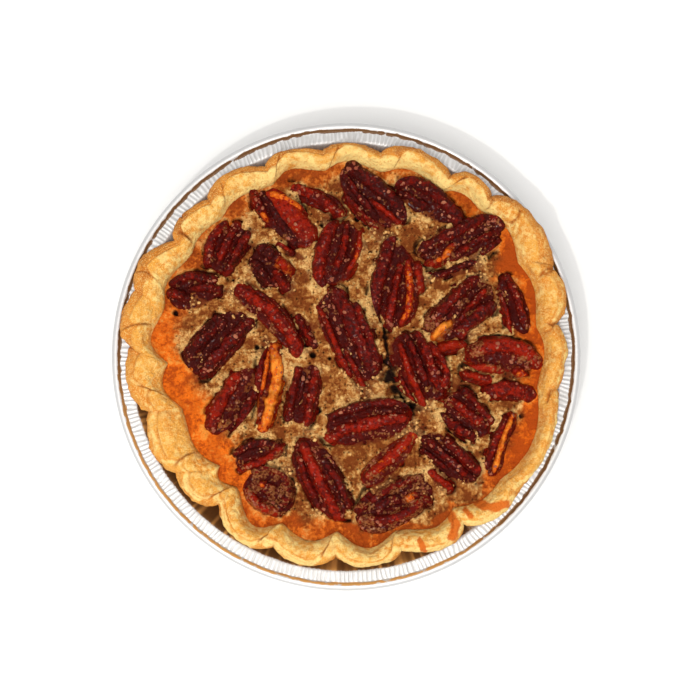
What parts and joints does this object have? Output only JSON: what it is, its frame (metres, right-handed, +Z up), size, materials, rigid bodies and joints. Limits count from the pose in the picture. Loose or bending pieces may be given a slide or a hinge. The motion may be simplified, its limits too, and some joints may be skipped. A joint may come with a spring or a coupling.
{
  "type": "pecan pie",
  "caption": "Small open pecan pie with a fluted golden crust, baked and standing in its own round aluminium foil tin.",
  "frame": {"origin": "centre of the tin's flat base, on the surface that it stands on", "axes": "+Z up out of the pie's open top, -Y towards the side nearest the viewer of the picture, +X to the picture's right"},
  "size_m": [0.168, 0.168, 0.0318],
  "materials": {
    "foil": "bright crimped foil",
    "crust": "matte baked pastry",
    "filling": "satin porous caramel",
    "pecan": "glossy candied nut"
  },
  "bodies": {
    "root": {"tin": "foil", "crust": "crust", "filling": "filling", "pecan_01": "pecan", "pecan_02": "pecan", "pecan_03": "pecan", "pecan_04": "pecan", "pecan_05": "pecan", "pecan_06": "pecan", "pecan_07": "pecan", "pecan_08": "pecan", "pecan_09": "pecan", "pecan_10": "pecan", "pecan_11": "pecan", "pecan_12": "pecan", "pecan_13": "pecan", "pecan_14": "pecan", "pecan_15": "pecan", "pecan_16": "pecan", "pecan_17": "pecan", "pecan_18": "pecan", "pecan_19": "pecan", "pecan_20": "pecan", "pecan_21": "pecan", "pecan_22": "pecan", "pecan_23": "pecan", "pecan_24": "pecan", "pecan_25": "pecan", "pecan_26": "pecan", "pecan_27": "pecan", "pecan_28": "pecan", "pecan_29": "pecan", "pecan_30": "pecan", "pecan_31": "pecan", "pecan_32": "pecan", "pecan_33": "pecan", "pecan_34": "pecan", "pecan_35": "pecan", "pecan_36": "pecan"}
  },
  "joints": []
}
